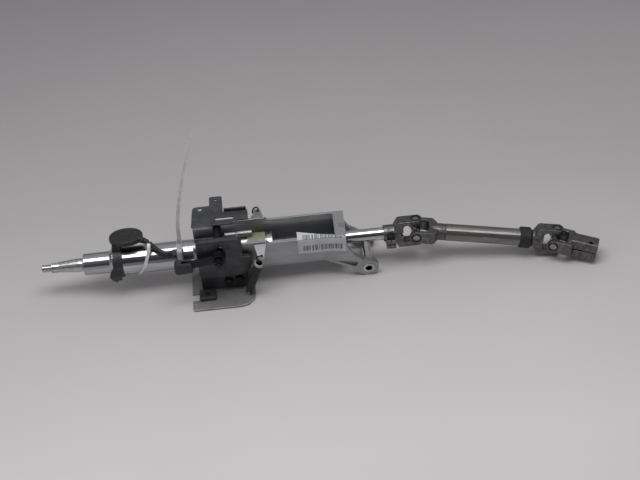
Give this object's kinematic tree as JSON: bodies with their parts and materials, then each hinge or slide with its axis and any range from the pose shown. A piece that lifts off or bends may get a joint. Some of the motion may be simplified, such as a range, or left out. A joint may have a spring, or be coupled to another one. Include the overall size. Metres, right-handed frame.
{
  "type": "steering column",
  "caption": "Adjustable vehicle steering column lying upside down: jacket tube in a channel with clamp lever, bearing-carried shafts, universal joints and a gear end yoke.",
  "frame": {"origin": "middle of the console plate's mounting face, under the column", "axes": "+X along the column from the wheel end to the gear end, +Y away from the clamp lever, +Z from the mounting face to the column"},
  "size_m": [0.8286, 0.1455, 0.2329],
  "materials": {
    "aluminium": "cast and rolled, light grey",
    "bright_steel": "ground, bright",
    "tube_steel": "drawn tube, lightly oiled",
    "forged_steel": "forged, shot blasted",
    "dark_steel": "phosphated, dark grey",
    "black_steel": "blackened",
    "zinc": "zinc plated",
    "black_plastic": "moulded, black",
    "nylon": "natural nylon",
    "rubber": "black rubber"
  },
  "bodies": {
    "console": {"console_plate": "dark_steel", "clamp_cheek": "dark_steel", "cheek_bolt_1": "zinc", "cheek_bolt_2": "zinc", "capsule_near": "dark_steel", "capsule_far": "dark_steel", "tilt_spring_near": "black_steel", "tilt_spring_far": "black_steel", "spring_sleeve_near": "rubber", "spring_sleeve_far": "rubber"},
    "channel": {"lower_channel": "aluminium", "pivot_tube": "bright_steel", "pivot_bush_near": "bright_steel", "pivot_bush_far": "bright_steel", "trim_carrier": "dark_steel", "guide_bush_front": "nylon", "guide_bush_rear": "nylon", "clamp_bolt": "zinc", "clamp_spacer": "black_steel", "clamp_washer": "zinc", "fixed_cam": "zinc", "clamp_nut": "zinc", "lower_bearing_outer": "bright_steel", "bearing_retainer": "black_steel"},
    "lever": {"clamp_lever": "black_steel", "lever_grip": "black_plastic"},
    "tube": {"jacket_tube": "tube_steel", "bearing_housing": "tube_steel", "upper_bearing_outer": "bright_steel", "coil_band": "black_plastic", "reader_coil": "black_plastic", "coil_cable": "black_plastic", "cable_plug": "black_plastic", "cable_tie": "nylon", "tag_tie": "nylon", "stop_rod": "bright_steel"},
    "wheel_shaft": {"upper_shaft": "bright_steel", "upper_bearing_inner": "bright_steel"},
    "output_shaft": {"lower_shaft": "bright_steel", "lower_bearing_inner": "bright_steel", "yoke_1": "forged_steel", "pinch_bolt": "black_steel", "cup_1_top": "bright_steel", "cup_1_foot": "bright_steel"},
    "first_cross": {"cross_1": "bright_steel"},
    "middle_shaft": {"yoke_2": "forged_steel", "middle_tube": "tube_steel", "dust_seal": "rubber", "cup_1_far": "bright_steel", "cup_1_near": "bright_steel"},
    "slider": {"sliding_shaft": "tube_steel", "yoke_3": "forged_steel", "cup_2_top": "bright_steel", "cup_2_foot": "bright_steel"},
    "second_cross": {"cross_2": "bright_steel"},
    "gear_end_body": {"gear_yoke": "forged_steel", "cup_2_far": "bright_steel", "cup_2_near": "bright_steel"}
  },
  "joints": [
    {"name": "tilt", "type": "hinge", "parent": "console", "child": "channel", "pos_m": [0.2095, 0, 0.015], "axis": [0, 1, 0], "range_deg": [-2, 3], "deforming": ["tilt_spring_near", "tilt_spring_far", "spring_sleeve_near", "spring_sleeve_far"]},
    {"name": "clamp", "type": "hinge", "parent": "channel", "child": "lever", "pos_m": [-0.01, 0, 0.0795], "axis": [0, -1, 0], "range_deg": [0, 60]},
    {"name": "reach", "type": "slide", "parent": "channel", "child": "tube", "axis": [1, 0, 0], "range_m": [0, 0.02]},
    {"name": "wheel_turn", "type": "hinge", "parent": "tube", "child": "wheel_shaft", "pos_m": [-0.273, 0, 0.052], "axis": [1, 0, 0], "continuous": true},
    {"name": "output_turn", "type": "hinge", "parent": "channel", "child": "output_shaft", "pos_m": [0.178, 0, 0.052], "axis": [1, 0, 0], "continuous": true},
    {"name": "joint_1_fork", "type": "hinge", "parent": "output_shaft", "child": "first_cross", "pos_m": [0.284, 0, 0.052], "axis": [0, 0.2079, 0.9781], "range_deg": [-20, 28]},
    {"name": "joint_1_shaft", "type": "hinge", "parent": "first_cross", "child": "middle_shaft", "pos_m": [0.284, 0, 0.052], "axis": [0.0736, 0.9755, -0.2073], "range_deg": [-33, 15]},
    {"name": "shaft_slide", "type": "slide", "parent": "middle_shaft", "child": "slider", "axis": [0.9851, -0.1035, -0.1374], "range_m": [0, 0.03]},
    {"name": "joint_2_shaft", "type": "hinge", "parent": "slider", "child": "second_cross", "pos_m": [0.49087, -0.02174, 0.02314], "axis": [0.1555, 0.1941, 0.9686], "range_deg": [-9, 38]},
    {"name": "joint_2_fork", "type": "hinge", "parent": "second_cross", "child": "gear_end_body", "pos_m": [0.49087, -0.02174, 0.02314], "axis": [0.3203, 0.9176, -0.2354], "range_deg": [-25, 22]}
  ],
  "couplings": [
    {"joint": "wheel_turn", "follows": "output_turn", "ratio": 1}
  ]
}
